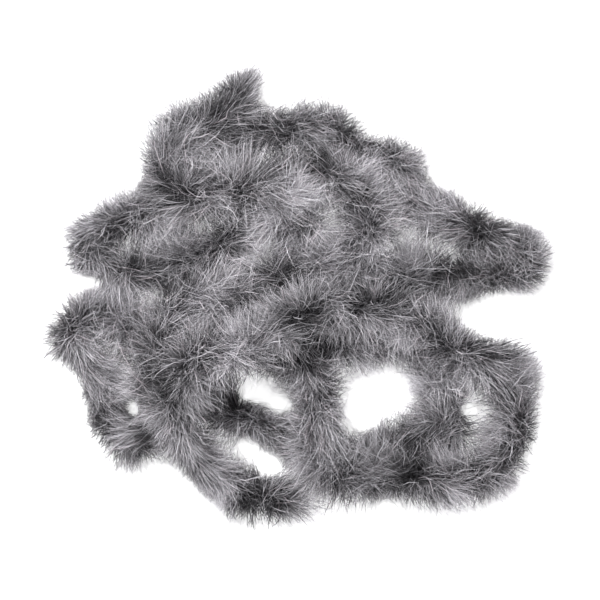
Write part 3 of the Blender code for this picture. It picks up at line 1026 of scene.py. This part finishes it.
class BOA_OT_string(bpy.types.Operator):
    """Makes the twisted core string, in the lengths that the lifting joints part"""

    bl_idname = "boa.string"
    bl_label = "Core string"

    def execute(self, context):
        _, colours = settings()
        finish = twisted_material("cotton_string", colours.string, STRING_FLECKS, STRING_ROUGHNESS)
        pieces = {}
        for name, (start, end) in stretch_ends().items():
            count = int((end - start) / STRING_STEP) + 2
            where = np.linspace(start, end, count)
            centre, _, side, up = BOA.at(where)
            sides = np.arange(STRING_SIDES)
            twist = where[:, None] / STRING_TWIST * 2 * math.pi
            lobes = np.abs(np.cos(2 * math.pi * sides[None] / STRING_SIDES - twist))
            radii = STRING_RADIUS * (1 - STRING_GROOVE + STRING_GROOVE * lobes)
            piece = closed_tube(f"string_{name}", centre, side, up, radii, finish)
            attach(piece, BODY_OF[name])
            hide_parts(f"core_string_{name}")
            pieces[name] = (piece, centre)
        self.declare(pieces)
        return {"FINISHED"}

    def declare(self, pieces):
        """The string is one cord. This step does nothing."""


class BOA_OT_thread(bpy.types.Operator):
    """Winds the binding thread round the string"""

    bl_idname = "boa.thread"
    bl_label = "Binding thread"

    def execute(self, context):
        sizes, colours = settings()
        finish = twisted_material("sewing_thread", colours.thread, THREAD_FLECKS, THREAD_ROUGHNESS)
        for name, (start, end) in stretch_ends().items():
            turns = (end - start - 2 * THREAD_INSET) / sizes.thread_pitch
            where = np.linspace(start + THREAD_INSET, end - THREAD_INSET, int(turns * THREAD_STEPS))
            centre, _, side, up = BOA.at(where)
            around = 2 * math.pi * where / sizes.thread_pitch
            out = np.cos(around)[:, None] * side + np.sin(around)[:, None] * up
            line = centre + out * (STRING_RADIUS + sizes.thread_radius)
            radii = np.full((len(line), THREAD_SIDES), sizes.thread_radius)
            along = unit(np.gradient(line, axis=0))
            piece = closed_tube(f"thread_{name}", line, out, unit(np.cross(along, out)), radii, finish)
            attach(piece, BODY_OF[name])
            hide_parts(f"binding_thread_{name}")
        return {"FINISHED"}


class BOA_OT_knots(bpy.types.Operator):
    """Ties a knot in each end of the string"""

    bl_idname = "boa.knots"
    bl_label = "End knots"

    def execute(self, context):
        _, colours = settings()
        finish = twisted_material("knotted_string", colours.string, STRING_FLECKS, STRING_ROUGHNESS)
        for end, outwards, where in (("back", -1, 0.0), ("front", 1, BOA.length)):
            centre, heading, side, up = (row[0] for row in BOA.at(np.array([where])))
            heading = heading * outwards
            middle = centre + heading * (FIT_GAP + KNOT_LENGTH / 2)
            turn = np.linspace(0.0, 2 * math.pi, KNOT_STEPS, endpoint=False)
            flat = np.stack([np.sin(turn) + 2 * np.sin(2 * turn), np.cos(turn) - 2 * np.cos(2 * turn)], 1)
            lift = -KNOT_LIFT * np.sin(3 * turn)
            loop = KNOT_LOOP * flat
            line = middle + loop[:, :1] * heading + loop[:, 1:] * side + lift[:, None] * up
            line = np.vstack([line, line[:1]])
            along = unit(np.gradient(line, axis=0))
            out = unit(np.cross(along, up))
            radii = np.full((len(line), KNOT_SIDES), KNOT_STRAND_RADIUS)
            piece = closed_tube(f"knot_{end}", line, out, unit(np.cross(along, out)), radii, finish)
            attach(piece, f"{end}_tip")
            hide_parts(f"end_knot_{end}")
        return {"FINISHED"}


class BOA_OT_plumes(bpy.types.Operator):
    """Binds the plumes to the string, one piece for each bunch"""

    bl_idname = "boa.plumes"
    bl_label = "Plumes"

    def execute(self, context):
        sizes, colours = settings()
        finish = down_material(colours)
        flow = Flow(sizes.seed)
        ties = BOA.ties()
        for k, (start, end) in enumerate(zip(ties, ties[1:])):
            rng = np.random.default_rng([sizes.seed, k])
            sets = [plume_barbs(rng, flow, sizes, start, end), inner_barbs(rng, sizes, start, end)]
            points, quads, mapped = join([barbs.ribbons(rng) for barbs in sets])
            piece = new_piece(f"plumes_{k + 1:02d}", points, quads, finish, mapped)
            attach(piece, body_of_bunch(k))
            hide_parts(f"plume_bunch_{k + 1:02d}")
        return {"FINISHED"}


STEPS_IN_ORDER = [BOA_OT_stage, BOA_OT_string, BOA_OT_thread, BOA_OT_knots, BOA_OT_plumes]


class BOA_PT_panel(bpy.types.Panel):
    """Lists the steps that dress the boa, and their sizes and colours"""

    bl_idname = "BOA_PT_panel"
    bl_label = "Feather Boa"
    bl_space_type = "VIEW_3D"
    bl_region_type = "UI"
    bl_category = "Feather Boa"

    def draw(self, context):
        layout = self.layout
        for group in (context.scene.boa_sizes, context.scene.boa_colours):
            box = layout.box()
            for key in group.__annotations__:
                box.prop(group, key)
        for step in STEPS_IN_ORDER:
            layout.operator(step.bl_idname)


CLASSES = [BOA_PG_sizes, BOA_PG_colours, *STEPS_IN_ORDER, BOA_PT_panel]


def register():
    for cls in CLASSES:
        bpy.utils.register_class(cls)
    bpy.types.Scene.boa_sizes = PointerProperty(type=BOA_PG_sizes)
    bpy.types.Scene.boa_colours = PointerProperty(type=BOA_PG_colours)


def unregister():
    del bpy.types.Scene.boa_colours
    del bpy.types.Scene.boa_sizes
    for cls in reversed(CLASSES):
        bpy.utils.unregister_class(cls)


def main():
    register()
    bpy.ops.boa.stage()
    bpy.ops.boa.string()
    bpy.ops.boa.thread()
    bpy.ops.boa.knots()
    bpy.ops.boa.plumes()


if __name__ == "__main__":
    main()
